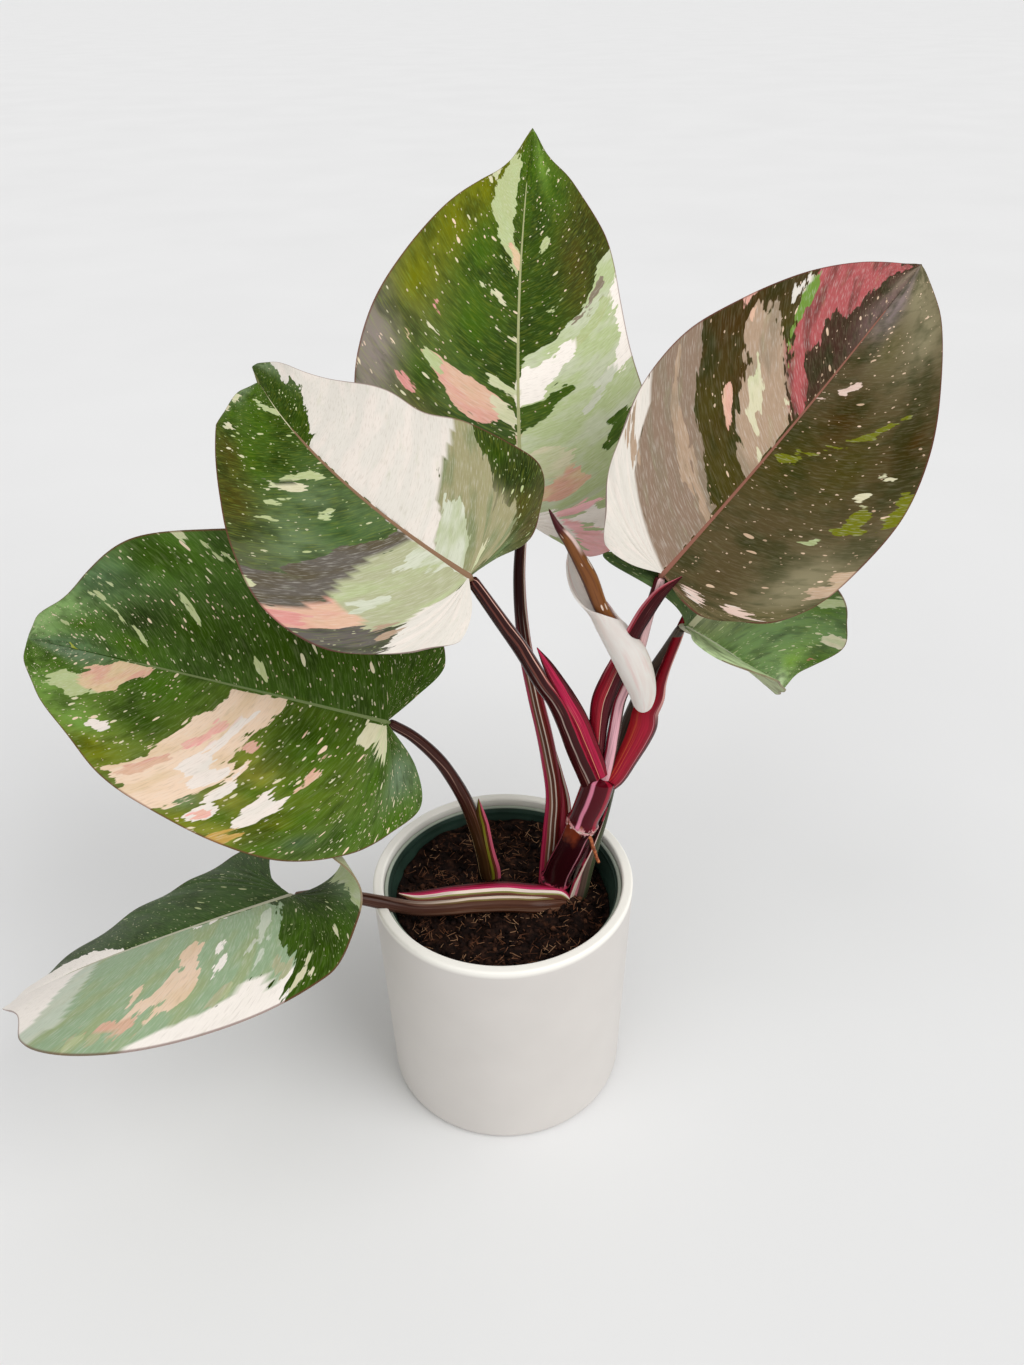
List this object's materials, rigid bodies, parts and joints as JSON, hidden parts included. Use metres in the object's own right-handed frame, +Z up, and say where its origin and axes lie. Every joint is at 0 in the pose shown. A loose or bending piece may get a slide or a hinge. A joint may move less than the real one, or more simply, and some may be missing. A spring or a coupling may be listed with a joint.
{
  "type": "potted philodendron plant",
  "caption": "Climbing aroid with large heart-shaped variegated leaves on winged red stalks, in a thin nursery pot inside a plain white cover pot.",
  "frame": {"origin": "centre of the cover pot's flat base", "axes": "+Z up along the pot's axis, -Y towards the front, +X to the right"},
  "size_m": [0.4786, 0.3153, 0.4787],
  "materials": {
    "white_pot": "smooth satin white glaze",
    "nursery_plastic": "thin moulded green plastic",
    "stem": "waxy maroon plant skin",
    "leaf_stalk": "waxy red and pink striped plant skin",
    "leaf_back": "glossy green leaf with pale patches",
    "leaf_front": "glossy leaf, dark green half and white half",
    "leaf_left": "glossy dark green leaf, finely speckled",
    "leaf_low": "glossy grey-green leaf with white bands",
    "leaf_right": "glossy olive and brown leaf with pink patches",
    "leaf_far": "glossy green leaf with pale speckles",
    "rolled_leaf": "smooth rolled leaf, brown with a pale wrap",
    "red_sheath": "glossy crimson sheath",
    "root": "dry brown root",
    "soil": "damp fibrous peat"
  },
  "bodies": {
    "root": {"cover_pot": "white_pot", "nursery_pot": "nursery_plastic", "main_stem": "stem", "blade_back": "leaf_back", "blade_front": "leaf_front", "blade_left": "leaf_left", "blade_low": "leaf_low", "blade_right": "leaf_right", "blade_far": "leaf_far", "petiole_right": "leaf_stalk", "petiole_front": "leaf_stalk", "petiole_back": "leaf_stalk", "petiole_low": "leaf_stalk", "petiole_far": "leaf_stalk", "petiole_left": "leaf_stalk", "rolled_leaf": "rolled_leaf", "cataphyll": "red_sheath", "aerial_root": "root", "potting_soil": "soil"}
  },
  "joints": []
}
